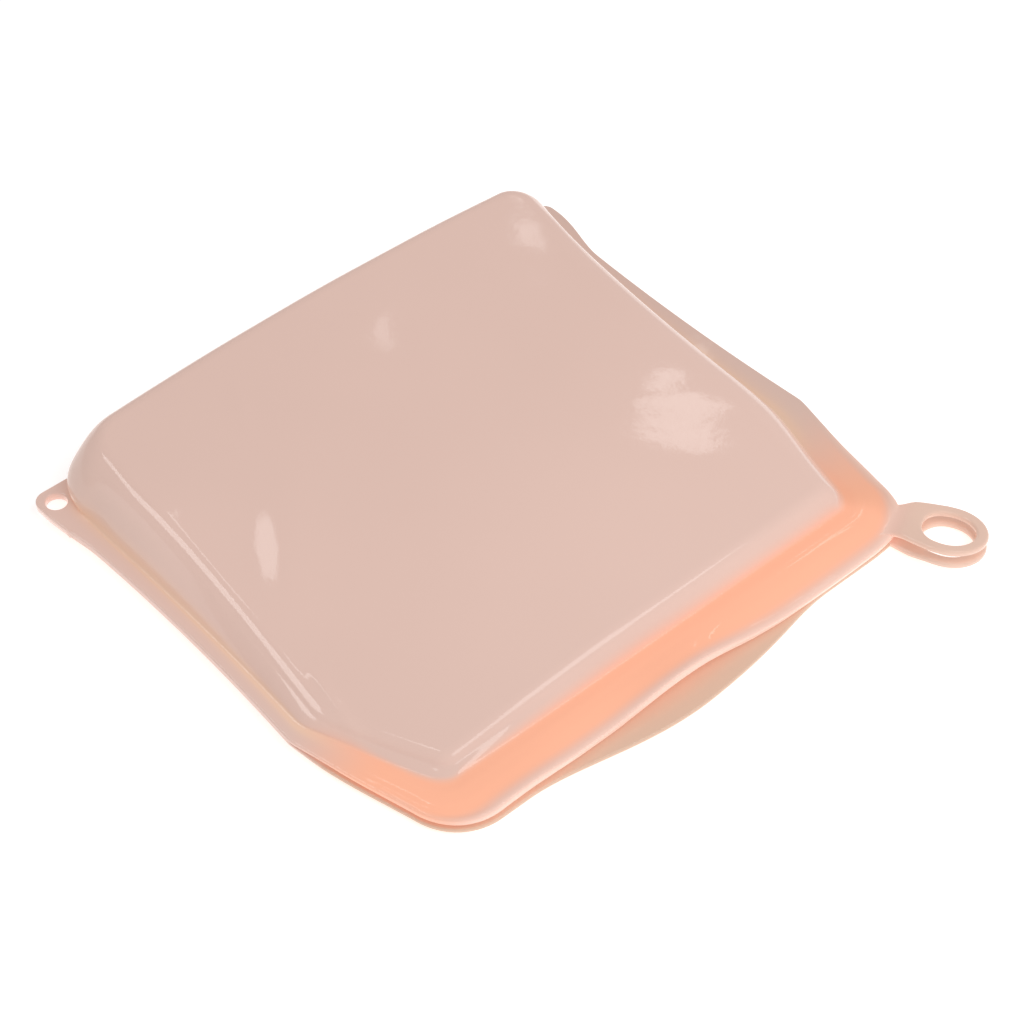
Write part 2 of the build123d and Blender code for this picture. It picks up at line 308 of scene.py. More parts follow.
def sheet_points(rings, panel_z):
    """Points of a sheet: the rings and then the panel grid inside the last one."""
    grid = patch(rings[-1][:, :2])[1:-1, 1:-1].reshape(-1, 2)
    return np.concatenate(rings + [np.column_stack([grid, panel_z(grid[:, 1])])])


def sheet_faces(rings):
    """Faces of a sheet and a key for each: (ring, place round it), or (rings, row) in the panel grid."""
    after = (np.arange(AROUND) + 1) % AROUND
    faces, keys = [], []
    for k in range(rings - 1):
        here, inner = k * AROUND, (k + 1) * AROUND
        for i in range(AROUND):
            faces.append((here + i, here + after[i], inner + after[i], inner + i))
            keys.append((k, i))
    index = np.zeros((LEFT + 1, WIDE + 1), int)
    last = (rings - 1) * AROUND
    index[:, 0] = last + np.arange(LEFT + 1)
    index[:, -1] = last + (2 * LEFT + WIDE - np.arange(LEFT + 1)) % AROUND
    index[0, :] = last + (AROUND - np.arange(WIDE + 1)) % AROUND
    index[-1, :] = last + LEFT + np.arange(WIDE + 1)
    inside = rings * AROUND + np.arange((LEFT - 1) * (WIDE - 1))
    index[1:-1, 1:-1] = inside.reshape(LEFT - 1, WIDE - 1)
    for i in range(LEFT):
        for j in range(WIDE):
            faces.append((index[i, j], index[i + 1, j], index[i + 1, j + 1], index[i, j + 1]))
            keys.append((rings, i))
    return faces, keys


def normals_of(points, faces):
    """Unit normals at the points of a mesh of four-cornered faces, weighted by area."""
    quads = np.array(faces)
    p = points[quads]
    face_normal = np.cross(p[:, 2] - p[:, 0], p[:, 3] - p[:, 1])
    total = np.zeros_like(points)
    for c in range(4):
        np.add.at(total, quads[:, c], face_normal)
    return total / np.maximum(np.linalg.norm(total, axis=1), 1e-12)[:, None]


def on_every_ring(by_place, count):
    """The same values or vectors on each of count rings."""
    return np.concatenate([by_place] * count)


def padded(on_rings, total, rest=0.0):
    """Values on the rings' points, with rest on the panel grid's points."""
    return np.concatenate([on_rings, np.full((total - len(on_rings), *on_rings.shape[1:]), rest)])


def seal_distance(points, count):
    """Distance in plan of each ring point from the middle of the seal, outside positive."""
    way = points[:count * AROUND, :2] - on_every_ring(MIDDLE, count)
    return np.einsum("ij,ij->i", way, on_every_ring(outward(MIDDLE), count))


# ---- the shapes that soft silicone settles into ----
def drift(y):
    """Sideways shift of the whole bag between the mouth and the ears."""
    return DRIFT * smooth(y, -78, -50) * (1 - smooth(y, 55, 80))


def mouth_push(x, y):
    """How far both lips bow out at the right of the mouth."""
    return MOUTH_PUSH * smooth(x, 0, 34) * (1 - smooth(x, 68, 86)) * smooth(-y, 72, 86)


def lip_lift(x, y):
    """Height of the front lip's wavy edge over its moulded one."""
    left, middle, right = LIP_WAVES
    wave = left * hump(x, -62, 20) + middle * hump(x, -6, 28) \
        + right * smooth(x, 10, 44) * (1 - smooth(x, 52, 84))
    return wave * smooth(-y, 76, 91)


def folds(x, y):
    """Height of the slight folds in the panel."""
    total = 0.0
    for (cx, cy), (dx, dy), length, width, height in FOLDS:
        size = math.hypot(dx, dy)
        along = ((x - cx) * dx + (y - cy) * dy) / size
        across = ((x - cx) * dy - (y - cy) * dx) / size
        total = total + height * np.exp(-(across / width) ** 2) * hump(along, 0, length)
    return total


def panel_sag(x, y):
    """The panel lies lower beside the left kink than beside the right one, and crowns in the middle."""
    low_side = SAG * hump(y, -42, 92) * smooth(-x, 5, 90)
    ripple = RIPPLES[0] * np.sin(x / 8.3 + 1.3) * np.sin(y / 10.1 + 0.4) \
        + RIPPLES[1] * np.sin((x + y) / 6.7)
    crown = CROWN * np.clip(1 - (x / 86) ** 2, 0, 1) * smooth(y, -62, 10)
    return low_side + crown + ripple + folds(x, y)


def front_settle(p, raised, out):
    """Moves points of the front half from the plain moulding to where the soft sheet lies. raised is 0 on the
    flange and 1 on the panel; out points out of the outline where the flank may bulge."""
    x, y = p[:, 0], p[:, 1]
    closed = smooth(y, 60, 84)
    on_flank = raised < 1
    bulge = FLANK_BULGE + CLOSED_BULGE * closed
    corner = CORNER_BULGE * smooth(-x, 72, 88) * smooth(y, 66, 82)
    q = p.copy()
    q[:, :2] += out * (bulge * np.sin(np.pi * raised ** 0.7) * on_flank)[:, None]
    q[:, :2] += out * (corner * np.sin(np.pi * raised ** 0.5) * on_flank)[:, None]
    q[:, 0] += drift(y)
    q[:, 1] += mouth_push(x, y) + raised * CLOSED_BOW * closed * (1 - (np.clip(x, -90, 90) / 90) ** 2)
    q[:, 2] += lip_lift(x, y) + raised * panel_sag(x, y)
    return q


def back_settle(p):
    """Moves points of the back half: its lip bows out in front of the lifted front lip."""
    x, y = p[:, 0], p[:, 1]
    q = p.copy()
    q[:, 0] += drift(y)
    q[:, 1] += BACK_PUSH * mouth_push(x, y) + BACK_LIP_BOW * hump(x, -6, 56) * smooth(-y, 74, 88)
    return q


# ---- rings of the two halves ----
def flange_rings(edge, middle, foot):
    """Rings across the flange, from its edge to where the sheet bends at the flank's foot."""
    room = np.linalg.norm(middle - foot, axis=1)
    bend = toward(foot, middle, np.minimum(FOOT_FILLET, 0.7 * room))
    outer_part = [edge] + [edge + (middle - edge) * t for t in FLANGE_STEPS]
    return outer_part + between(middle, bend, INNER_FLANGE_RINGS)


def front_rings():
    """Rings of the front half's outside, from the flange's edge to the panel, and how many are flat."""
    middle, foot = with_z(MIDDLE, SEAM_TOP_Z), with_z(FOOT, SEAM_TOP_Z)
    top = with_z(TOP, top_z(TOP[:, 1]))
    inner = top.copy()
    inner[:, :2] -= outward(TOP) * 10
    inner[:, 2] = top_z(inner[:, 1])
    closed = smooth(FOOT[:, 1], 50, 80)
    right = smooth(TOP[:, 0], 50, 75) * smooth(TOP[:, 1], -60, -20) * (1 - smooth(TOP[:, 1], 45, 68))
    bottom = toward(foot, top, FOOT_REACH[0] + FOOT_REACH[1] * closed)
    shoulder = toward(top, foot, np.dot(SHOULDER_REACH, (np.ones(AROUND), closed * (1 - right), right)))
    rim = toward(top, inner, np.dot(RIM_REACH, (np.ones(AROUND), closed, right)))
    rings = flange_rings(with_z(EDGE - EDGE_OUT * EDGE_ROUND, SEAM_TOP_Z), middle, foot)
    flat = len(rings)
    rings += rounded(rings[-1], foot, bottom, FOOT_RINGS) + between(bottom, shoulder, FLANK_RINGS) \
        + rounded(shoulder, top, rim, SHOULDER_RINGS)
    return rings, flat


def back_rings():
    """Rings of the back half's underside, from the flange's edge to the flat of the tray."""
    share = smooth(-EDGE[:, 1], -KINK_Y - 3, -KINK_Y + 14)
    under = SEAM_LOW_Z + (BACK_RIM_Z - SEAM_LOW_Z) * share
    edge, middle, foot = (with_z(plan, under) for plan in (EDGE - EDGE_OUT * EDGE_ROUND, MIDDLE, FOOT))
    rings = flange_rings(edge, middle, foot)
    bend, tray = rings[-1], with_z(FOOT - outward(FOOT) * TRAY_INSET, 0.0)
    for k in range(1, TRAY_RINGS + 1):
        t = k / TRAY_RINGS
        ring = bend + (tray - bend) * t
        ring[:, 2] = under * (1 - smooth(t, 0, 1))
        rings.append(ring)
    return rings


def edge_profile(top, bottom, top_round, bottom_round):
    """Rings round a sheet's edge: from its first ring on top, over the edge, to its first ring below."""
    rings = []
    for k in range(1, EDGE_STEPS + 1):
        a = k / EDGE_STEPS * math.pi / 2
        ring = top.copy()
        ring[:, :2] += EDGE_OUT * (top_round * math.sin(a))[:, None]
        ring[:, 2] -= top_round * (1 - math.cos(a))
        rings.append(ring)
    for k in range(EDGE_STEPS):
        a = (EDGE_STEPS - k) / EDGE_STEPS * math.pi / 2
        ring = bottom.copy()
        ring[:, :2] += EDGE_OUT * (bottom_round * math.sin(a))[:, None]
        ring[:, 2] += bottom_round * (1 - math.cos(a))
        rings.append(ring)
    return rings


# ---- meshes ----
POINT_VALUES = ("seal", "thick_and_shaded", "lip", "shade")


def make_mesh(name, points, faces, normals, values, material):
    """A smooth mesh object from millimetres, with its point values, and its normals where they are given.
    A point value that isn't given is 0."""
    mesh = bpy.data.meshes.new(name)
    mesh.from_pydata([tuple(p) for p in points * MM], [], faces)
    mesh.validate(verbose=False)
    mesh.polygons.foreach_set("use_smooth", [True] * len(mesh.polygons))
    for key in POINT_VALUES:
        layer = mesh.attributes.new(key, "FLOAT", "POINT")
        value = np.broadcast_to(values.get(key, 0.0), len(points))
        layer.data.foreach_set("value", value.astype(np.float32))
    rest = mesh.attributes.new("moulded_at", "FLOAT_VECTOR", "POINT")
    rest.data.foreach_set("vector", (points * MM).astype(np.float32).ravel())
    if normals is not None:
        mesh.normals_split_custom_set_from_vertices([tuple(n) for n in normals])
    mesh.materials.append(material)
    obj = bpy.data.objects.new(name, mesh)
    bpy.context.scene.collection.objects.link(obj)
    return obj


def edge_chain(sheet_size, edge_rings):
    """Point numbers of the rings over a half's edge, from the upper sheet's first ring to the lower one's."""
    first = np.arange(AROUND)
    over = [2 * sheet_size + k * AROUND + first for k in range(edge_rings)]
    return [first] + over + [sheet_size + first]


def whole_half(outer, inner, edge_rings, ring_count, values):
    """Everything cut_piece needs of a half: points, normals and values. outer is the upper sheet."""
    faces, keys = sheet_faces(ring_count)
    size = len(outer)
    chain = edge_chain(size, len(edge_rings))
    every = list(faces) + [tuple(v + size for v in reversed(f)) for f in faces]
    for near, far in zip(chain, chain[1:]):
        for i in range(AROUND):
            j = (i + 1) % AROUND
            every.append((far[i], far[j], near[j], near[i]))
    points = np.concatenate([outer, inner] + edge_rings)
    spread = {k: np.concatenate([v, v] + [v[:AROUND]] * len(edge_rings)) for k, v in values.items()}
    return {
        "size": size, "points": points, "normals": normals_of(points, every), "faces": faces, "keys": keys,
        "edge_rings": len(edge_rings), "values": spread,
    }


def cut_piece(name, half, wanted, material):
    """One piece of a half: the upper faces that wanted(ring, place) picks, the lower ones under them,
    the rounded edge where it reaches it, and walls along the cuts."""
    size = half["size"]
    chain = edge_chain(size, half["edge_rings"])
    faces, border = [], {}
    for face, key in zip(half["faces"], half["keys"]):
        if not wanted(*key):
            continue
        faces += [tuple(face), tuple(v + size for v in reversed(face))]
        for a, b in zip(face, face[1:] + face[:1]):
            if (b, a) in border:
                del border[(b, a)]
            else:
                border[(a, b)] = True
    at_edge = {a: b for a, b in border if a < AROUND and b < AROUND and (b - a) % AROUND == 1}
    for a, b in border:
        if at_edge.get(a) == b:
            faces += [(far[a], far[b], near[b], near[a]) for near, far in zip(chain, chain[1:])]
        else:
            faces.append((b, a, a + size, b + size))
    starts, ends = set(at_edge), set(at_edge.values())
    faces += [tuple(int(c[v]) for c in reversed(chain)) for v in starts - ends]
    faces += [tuple(int(c[v]) for c in chain) for v in ends - starts]
    used = sorted({v for f in faces for v in f})
    renumber = {v: n for n, v in enumerate(used)}
    faces = [tuple(renumber[v] for v in f) for f in faces]
    values = {k: v[used] for k, v in half["values"].items()}
    return make_mesh(name, half["points"][used], faces, half["normals"][used], values, material)


# ---- materials ----
def linear(rgb):
    """Linear colour from 0-255 display values."""
    return tuple((c / 255 / 12.92 if c <= 10 else ((c / 255 + 0.055) / 1.055) ** 2.4) for c in rgb) + (1.0,)


BODY = linear((219, 187, 175))
BAND = linear((249, 179, 147))
# yellower colour of thicker silicone mixed with painted shade, at the flank's foot, beside the ear and on the
# back lip under the front lip
THICK_AND_SHADED = linear((231, 193, 168))
LIP = linear((239, 199, 183))
SHADE = (0.84, 0.85, 0.84, 1.0)
CLOUDS = ((0.955, 0.95, 0.945, 1.0), (1.03, 1.03, 1.03, 1.0))      # darkest and lightest of the mottling
GLOW = 0.25              # painted glow: the silicone gives off light at this share of its colour, standing in for light that milky silicone passes on from behind, and lifts its shade
SILICONE_IOR = 1.41


def silicone(name, base=BODY, moulded=True):
    """Milky glossy silicone. Its colour follows the point values: seal and lip follow the thickness, the tint
    is partly that of thicker silicone and partly painted shade, and shade is painted shade.
    A CAD node has no such values, so it takes its pattern from its own coordinates."""
    material = bpy.data.materials.new(name)
    material.use_nodes = True
    nodes, links = material.node_tree.nodes, material.node_tree.links
    shader = nodes["Principled BSDF"]
    shader.inputs["IOR"].default_value = SILICONE_IOR
    shader.inputs["Emission Strength"].default_value = GLOW

    def attribute(key, output):
        node = nodes.new("ShaderNodeAttribute")
        node.attribute_name = key
        return node.outputs[output]

    def mix(kind, factor, a, b):
        node = nodes.new("ShaderNodeMix")
        node.data_type = "RGBA"
        node.blend_type = kind
        for socket, value in ((0, factor), (6, a), (7, b)):
            if isinstance(value, (float, tuple)):
                node.inputs[socket].default_value = value
            else:
                links.new(value, node.inputs[socket])
        return node.outputs[2]

    if moulded:
        place = attribute("moulded_at", "Vector")
    else:
        place = nodes.new("ShaderNodeTexCoord").outputs["Object"]

    def noise(scale, detail=3.0):
        node = nodes.new("ShaderNodeTexNoise")
        node.inputs["Scale"].default_value = scale
        node.inputs["Detail"].default_value = detail
        links.new(place, node.inputs["Vector"])
        return node.outputs["Fac"]

    def ranged(value, low, high):
        node = nodes.new("ShaderNodeMapRange")
        node.inputs["To Min"].default_value = low
        node.inputs["To Max"].default_value = high
        links.new(value, node.inputs["Value"])
        return node.outputs["Result"]

    colour = mix("MULTIPLY", 1.0, base, mix("MIX", noise(9.0), *CLOUDS))
    if moulded:
        # the tint is partly the colour of thicker silicone and partly painted shade
        for key, thicker in (("thick_and_shaded", THICK_AND_SHADED), ("lip", LIP), ("seal", BAND)):
            colour = mix("MIX", attribute(key, "Fac"), colour, thicker)
        # painted shade: darkens the colour where the shade value is set
        colour = mix("MULTIPLY", attribute("shade", "Fac"), colour, SHADE)
    links.new(colour, shader.inputs["Base Color"])
    # painted glow in the silicone's own colour
    links.new(colour, shader.inputs["Emission Color"])
    links.new(ranged(noise(60.0), 0.03, 0.06), shader.inputs["Roughness"])
    bump = nodes.new("ShaderNodeBump")
    bump.inputs["Strength"].default_value = 0.03
    bump.inputs["Distance"].default_value = 0.0004
    links.new(noise(260.0, 4.0), bump.inputs["Height"])
    links.new(bump.outputs["Normal"], shader.inputs["Normal"])
    return material


body_silicone = silicone("silicone_milky")

# ---- the two halves ----
RIDGE_SHARE = 0.5                      # share of the CAD ridge's height that the soft sheet shows


def front_half(rings, flat):
    """The front half: its sheet with the finger ridge and the lip's bead, and its colours."""
    count = len(rings)
    base = sheet_points(rings, top_z)
    total, on_rings = len(base), count * AROUND

    def all_rings(by_place):
        return on_every_ring(by_place, count)

    full_rise = all_rings(top_z(TOP[:, 1])) - SEAM_TOP_Z - 1.5
    raised = np.clip((base[:on_rings, 2] - SEAM_TOP_Z) / full_rise, 0, 1)
    sheet = front_settle(base, padded(raised, total, 1.0), padded(all_rings(outward(FOOT)), total))
    normal = normals_of(sheet, sheet_faces(count)[0])

    away = seal_distance(base, count)
    reach = np.abs(away) / all_rings(BAND_HALF)
    to_right = smooth(MIDDLE[:, 0], 0, 60)
    along_mouth = all_rings(smooth(-MIDDLE[:, 1], 30 + 4 * to_right, 60 + 16 * to_right))
    ridge = RIDGE_SHARE * RIDGE_HEIGHT * (1 - smooth(reach, 0.2, 1.0)) * along_mouth
    ridge[flat * AROUND:] = 0
    from_edge = np.einsum("ij,ij->i", all_rings(EDGE) - base[:on_rings, :2], all_rings(EDGE_OUT))
    bead = BEAD_PROUD * all_rings(smooth(-EDGE[:, 1], 44, 70)) * (1 - smooth(from_edge, 1.2, 2.2))
    outer = sheet + normal * padded(ridge + bead, total)[:, None]
    inner = sheet - normal * (WALL + padded(bead, total))[:, None]
    inner[:AROUND, :2] += EDGE_OUT * (EDGE_ROUND - PARTED_ROUND)[:, None]

    bonded = all_rings(1 - smooth(-EDGE[:, 1], 30, 60))
    # near_foot carries the tint beside the flank's foot: partly thicker silicone, partly painted shade in the
    # crease
    near_foot = hump(np.repeat(np.arange(count), AROUND), flat, 13) * (1 - smooth(raised, 0.05, 0.4))
    on_lip = np.where(away > 0, smooth(reach, 1.0, 1.5), 0) * all_rings(smooth(-EDGE[:, 1], 34, 60))
    on_flank = np.sin(np.pi * raised ** 0.8)
    far_left = all_rings(smooth(FOOT[:, 1], 10, 70) * smooth(-FOOT[:, 0], 60, 80))
    right_flange = all_rings(smooth(MIDDLE[:, 0], 76, 82)) * (1 - raised)
    values = {
        "seal": (1 - smooth(reach, 0.75, 1.5)) * along_mouth,
        "thick_and_shaded": 0.9 * near_foot * bonded,
        "lip": on_lip,
        # painted shade on the far left flank and on the right flange
        "shade": np.clip(0.6 * on_flank * far_left + 0.8 * right_flange, 0, 1),
    }
    over_edge = edge_profile(outer[:AROUND], inner[:AROUND], np.full(AROUND, EDGE_ROUND), PARTED_ROUND)
    return whole_half(outer, inner, over_edge, count, {k: padded(v, total) for k, v in values.items()})


def back_half(rings):
    """The back half. Its upper sheet is the tray's inside, and the bag lies on the lower one."""
    count = len(rings)
    base = sheet_points(rings, np.zeros_like)
    lower = back_settle(base)
    upper = lower + normals_of(lower, sheet_faces(count)[0]) * WALL
    upper[:AROUND, :2] += EDGE_OUT * (EDGE_ROUND - PARTED_ROUND)[:, None]
    away = seal_distance(base, count)
    along_mouth = on_every_ring(smooth(-MIDDLE[:, 1], -KINK_Y + 1, -KINK_Y + 16), count)
    values = {
        "seal": (1 - smooth(np.maximum(-away, 4 * away + 6), 4.5, 8)) * along_mouth,
        # tint on the seal and back lip: partly thicker silicone, partly painted shade under the lifted front
        # lip
        "thick_and_shaded": 0.8 * along_mouth * smooth(away, -9, -3),
        # painted shade on the back lip
        "shade": along_mouth * smooth(away, -4, 2),
    }
    over_edge = edge_profile(upper[:AROUND], lower[:AROUND], PARTED_ROUND, np.full(AROUND, EDGE_ROUND))
    return whole_half(upper, lower, over_edge, count, {k: padded(v, len(base)) for k, v in values.items()})


# ---- the pieces cut from the halves ----
FLANGE_RINGS = len(FLANGE_STEPS)
EAR_REACH = CORNER // 2 + 9            # places each way from the middle of the eyelet corner
LIP_FROM = LEFT - CORNER // 2 - 12
LIP_TO = LEFT + WIDE + CORNER // 2 + 12


def is_lip(ring, place):
    return ring < FLANGE_RINGS and LIP_FROM <= place < LIP_TO


def is_ear(ring, place):
    return ring < FLANGE_RINGS and (place + EAR_REACH) % AROUND < 2 * EAR_REACH


def is_front_shell(ring, place):
    return not is_lip(ring, place) and not is_ear(ring, place)


def is_back_shell(ring, place):
    return not is_ear(ring, place)


def bends_with_flap(piece):
    """Bakes the piece's placement into its mesh."""
    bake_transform(piece)


front_ring_list, flat_count = front_rings()
front = front_half(front_ring_list, flat_count)
front_shell = cut_piece("front_shell", front, is_front_shell, body_silicone)
bends_with_flap(front_shell)
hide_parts("front_wall", "front_mouth_panel", "front_mouth_rim", "pinch_ridge")

front_lip = cut_piece("front_pull_lip", front, is_lip, body_silicone)
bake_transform(front_lip)
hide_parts("front_lip", "front_lip_bead")

back = back_half(back_rings())
back_shell = cut_piece("back_shell", back, is_back_shell, body_silicone)
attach(back_shell, "pouch")
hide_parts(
    "back_wall", "back_mouth_rim", "back_lip", "back_lip_bead",
    "closed_end_seam", "left_side_seam", "right_side_seam",
)


# ---- plates: the ear and the loops ----
def circle(centre, radius, count):
    a = np.arange(count) / count * 2 * math.pi
    return np.array(centre) + radius * np.stack([np.cos(a), np.sin(a)], 1)


def inside_polygon(point, polygon):
    x, y = point
    x1, y1 = polygon[:, 0], polygon[:, 1]
    x2, y2 = np.roll(x1, -1), np.roll(y1, -1)
    rise = np.where(y2 == y1, 1e-9, y2 - y1)
    crosses = ((y1 > y) != (y2 > y)) & (x < (x2 - x1) * (y - y1) / rise + x1)
    return crosses.sum() % 2 == 1


def filled(outer, hole, grid, spacing):
    """Points and triangles that fill outer and leave hole open. The points of both loops come first, then
    those of the grid that lie well inside."""
    border = np.concatenate([outer, hole])

    def within(point):
        return inside_polygon(point, outer) and not inside_polygon(point, hole)

    inner = [p for p in grid if within(p) and np.linalg.norm(border - p, axis=1).min() > spacing * 0.55]
    edges, start = [], 0
    for loop in (outer, hole):
        n = len(loop)
        edges += [(start + k, start + (k + 1) % n) for k in range(n)]
        start += n
    flat = [Vector(p) for p in [tuple(b) for b in border] + inner]
    verts, _, triangles, *_ = delaunay_2d_cdt(flat, edges, [], 0, 1e-7)
    verts = np.array([tuple(v) for v in verts])
    return verts, [tuple(t) for t in triangles if within(verts[list(t)].mean(0))]


def plate(name, outer, hole, heights, spacing, settle, values, material, level=False):
    """A flat plate with rounded edges and one hole. outer and hole are each a loop, drawn anticlockwise, and
    its edge's rounding at every point. values gives point values from the flat plate's points, and settle
    moves them. A level plate's normals are set, so that it meets a half along a cut without a line."""
    low, high = heights
    loops = [(outer[0], outward(outer[0]), outer[1]), (hole[0], -outward(hole[0]), hole[1])]
    caps = [loop - out * r[:, None] for loop, out, r in loops]
    grid_x, grid_y = (np.arange(a, b, spacing) for a, b in zip(outer[0].min(0), outer[0].max(0)))
    verts, triangles = filled(*caps, [(x, y) for x in grid_x for y in grid_y], spacing)
    count = len(verts)
    points = [with_z(verts, high), with_z(verts, low)]
    normals = [with_z(0 * verts, 1.0), with_z(0 * verts, -1.0)]
    faces = triangles + [tuple(v + count for v in reversed(t)) for t in triangles]
    base, start = 2 * count, 0
    for (loop, out, r), cap in zip(loops, caps):
        n = len(loop)
        chain = [start + np.arange(n)]
        for k in range(1, 2 * EDGE_STEPS):
            a = (1 - k / EDGE_STEPS) * math.pi / 2
            z = high - r * (1 - math.sin(a)) if a >= 0 else low + r * (1 + math.sin(a))
            points.append(with_z(cap + out * (r * math.cos(a))[:, None], z))
            normals.append(with_z(out * math.cos(a), math.sin(a)))
            chain.append(base + np.arange(n))
            base += n
        chain.append(count + start + np.arange(n))
        for near, far in zip(chain, chain[1:]):
            for i in range(n):
                j = (i + 1) % n
                face = (near[i], far[i], far[j], near[j])
                faces.append(face if loop is outer[0] else face[::-1])
        start += n
    points = np.concatenate(points)
    data = {key: value(points) for key, value in values.items()}
    set_normals = np.concatenate(normals) if level else None
    return make_mesh(name, settle(points), faces, set_normals, data, material)


# ---- ear ----
EAR_PLACES = np.arange(-EAR_REACH, EAR_REACH + 1) % AROUND
EAR_SPACING = 1.2
EYELET_EDGE, EYELET_SEGMENTS = 0.5, 40


def ear_outline(rings):
    """The flange's corner: its free edge, then the cut beside the pouch. Only the free edge is rounded."""
    plan = np.array(rings[:FLANGE_RINGS + 1])[:, :, :2]
    loop = np.concatenate([
        EDGE[EAR_PLACES], plan[1:FLANGE_RINGS, EAR_PLACES[-1]],
        plan[FLANGE_RINGS, EAR_PLACES][::-1], plan[1:FLANGE_RINGS, EAR_PLACES[0]][::-1],
    ])
    edge_round = np.zeros(len(loop))
    edge_round[1:len(EAR_PLACES) - 1] = EDGE_ROUND
    return loop, edge_round


def ear_settle(p):
    q = p.copy()
    q[:, 0] += drift(p[:, 1])
    return q


def ear_thick_and_shaded(p):
    """Yellower beside the pouch, as on the rest of the flange: partly the colour of thicker silicone, partly
    painted shade in the crease at the pouch's foot.
    """
    from_band = np.linalg.norm(p[:, None, :2] - MIDDLE[EAR_PLACES][None], axis=2).min(1)
    return 0.45 * (1 - smooth(from_band, 0, 3))


eyelet_loop = (circle(EYELET[:2], EYELET_RADIUS, EYELET_SEGMENTS), np.full(EYELET_SEGMENTS, EYELET_EDGE))
ear = plate(
    "corner_ear", ear_outline(front_ring_list), eyelet_loop, (SEAM_LOW_Z, SEAM_TOP_Z), EAR_SPACING,
    ear_settle, {"thick_and_shaded": ear_thick_and_shaded}, body_silicone, level=True,
)
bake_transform(ear)
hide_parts("corner_eyelet")

# ---- loops ----
# A loop is drawn in its own frame, along its way out from the root and sideways, and then laid in place.
LOOP_CENTRE, LOOP_OUTER, LOOP_HALF_THICK = 16.1, 11.4, 1.0
LOOP_TURN = math.radians(111.2)        # how far round the ring runs each way before it meets the neck
NECK = (1.6, 6.6)                      # where the neck's straight sides end
LOOP_EDGE, LOOP_ROOT_EDGE = 0.85, 0.35      # rounding of the loop's edges, and at its root
RING_SEGMENTS, HOLE_SEGMENTS, LOOP_SPACING = 48, 56, 1.5

loop_silicone = silicone("silicone_loop_milky")


def quadratic(a, control, b, count):
    """Points along a curve from a to b pulled to control, both ends included."""
    t = np.linspace(0, 1, count)[:, None]
    a, control, b = np.array(a), np.array(control), np.array(b)
    return a * (1 - t) ** 2 + control * 2 * t * (1 - t) + b * t * t


def loop_outline():
    """Outline of a loop, anticlockwise, with the edge's rounding. Its root end is buried in the lip."""
    a = np.linspace(-LOOP_TURN, LOOP_TURN, RING_SEGMENTS + 1)
    ring = np.stack([LOOP_CENTRE + LOOP_OUTER * np.cos(a), LOOP_OUTER * np.sin(a)], 1)
    neck = np.array(NECK)
    far_neck = neck * (1, -1)
    loop = np.concatenate([
        ring,
        np.linspace(ring[-1], neck, 9)[1:-1],
        quadratic(neck, (-0.2, 5.9), (-1.2, 6.3), 6),
        np.array([(-2.0, 5.0), (-2.6, 2.5), (-3.0, 0.0), (-3.2, -2.5), (-3.2, -5.0), (-2.8, -6.8)]),
        quadratic((-2.2, -7.6), (-0.4, -6.1), far_neck, 8),
        np.linspace(far_neck, ring[-1] * (1, -1), 9)[1:-1],
    ])
    return loop, LOOP_ROOT_EDGE + (LOOP_EDGE - LOOP_ROOT_EDGE) * smooth(loop[:, 0], -1.5, 4)


def add_loop(name, node, heights, climb, twist):
    """One loop. heights are those of its middle in the lip and at the ring; it climbs from one to the other
    between the two distances of climb from the root, and turns by twist degrees about its way out, fully 16
    mm out."""
    def settle(p):
        along, sideways = p[:, 0], p[:, 1]
        thick = p[:, 2] * (0.6 + 0.4 * smooth(along, -1.5, 4))
        turn = -math.radians(twist) * smooth(along, -1, 16)
        side = sideways * np.cos(turn) - thick * np.sin(turn)
        height = sideways * np.sin(turn) + thick * np.cos(turn) \
            + heights[0] + (heights[1] - heights[0]) * smooth(along, *climb)
        return np.column_stack([LOOP_ROOT + along[:, None] * LOOP_WAY + side[:, None] * LOOP_SIDE, height])

    hole = (circle((LOOP_CENTRE, 0), LOOP_HOLE, HOLE_SEGMENTS), np.full(HOLE_SEGMENTS, LOOP_EDGE))
    # the loops take an even share of the tint and of the painted shade
    values = {"thick_and_shaded": lambda p: 0.4, "lip": lambda p: 1 - smooth(p[:, 0], 0, 6), "shade": lambda p: 0.3}
    faces_at = (-LOOP_HALF_THICK, LOOP_HALF_THICK)
    piece = plate(name, loop_outline(), hole, faces_at, LOOP_SPACING, settle, values, loop_silicone)
    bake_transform(piece)
    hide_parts(node)


add_loop("front_loop_ring", "front_loop", (5.2, 7.4), (-2, 5), 12.0)
add_loop("back_loop_ring", "back_loop", (1.9, 2.9), (6, 14), 10.0)


# ---- rib under the front half ----
def seal_rib():
    """The rib as a strip along the seal: root, sides and tip, closed at both ends."""
    around = outline(mouth_corners(SEAL_SIDE, SEAL_FRONT), RIB_RADII)
    picked = around[:, 1] < RIB_END_Y
    path, out = around[picked], outward(around)[picked]
    side = ((RIB_HALF, 0.02), (1.15, -0.6), (1.0, -1.2), (RIB_TIP_HALF, -1.5), (0.5, -RIB_HEIGHT))
    profile = [(-across, drop) for across, drop in side] + list(reversed(side))
    rows = np.stack([with_z(path + out * across, FRONT_RIM_Z + drop) for across, drop in profile], 1)
    count, wide = rows.shape[:2]
    faces = [
        ((i + 1) * wide + j, (i + 1) * wide + (j + 1) % wide, i * wide + (j + 1) % wide, i * wide + j)
        for i in range(count - 1) for j in range(wide)
    ]
    faces += [tuple(range(wide)), tuple((count - 1) * wide + j for j in reversed(range(wide)))]
    return make_mesh("seal_rib_strip", rows.reshape(-1, 3), faces, None, {"seal": 0.9}, body_silicone)


rib = seal_rib()
bends_with_flap(rib)
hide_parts("seal_rib")

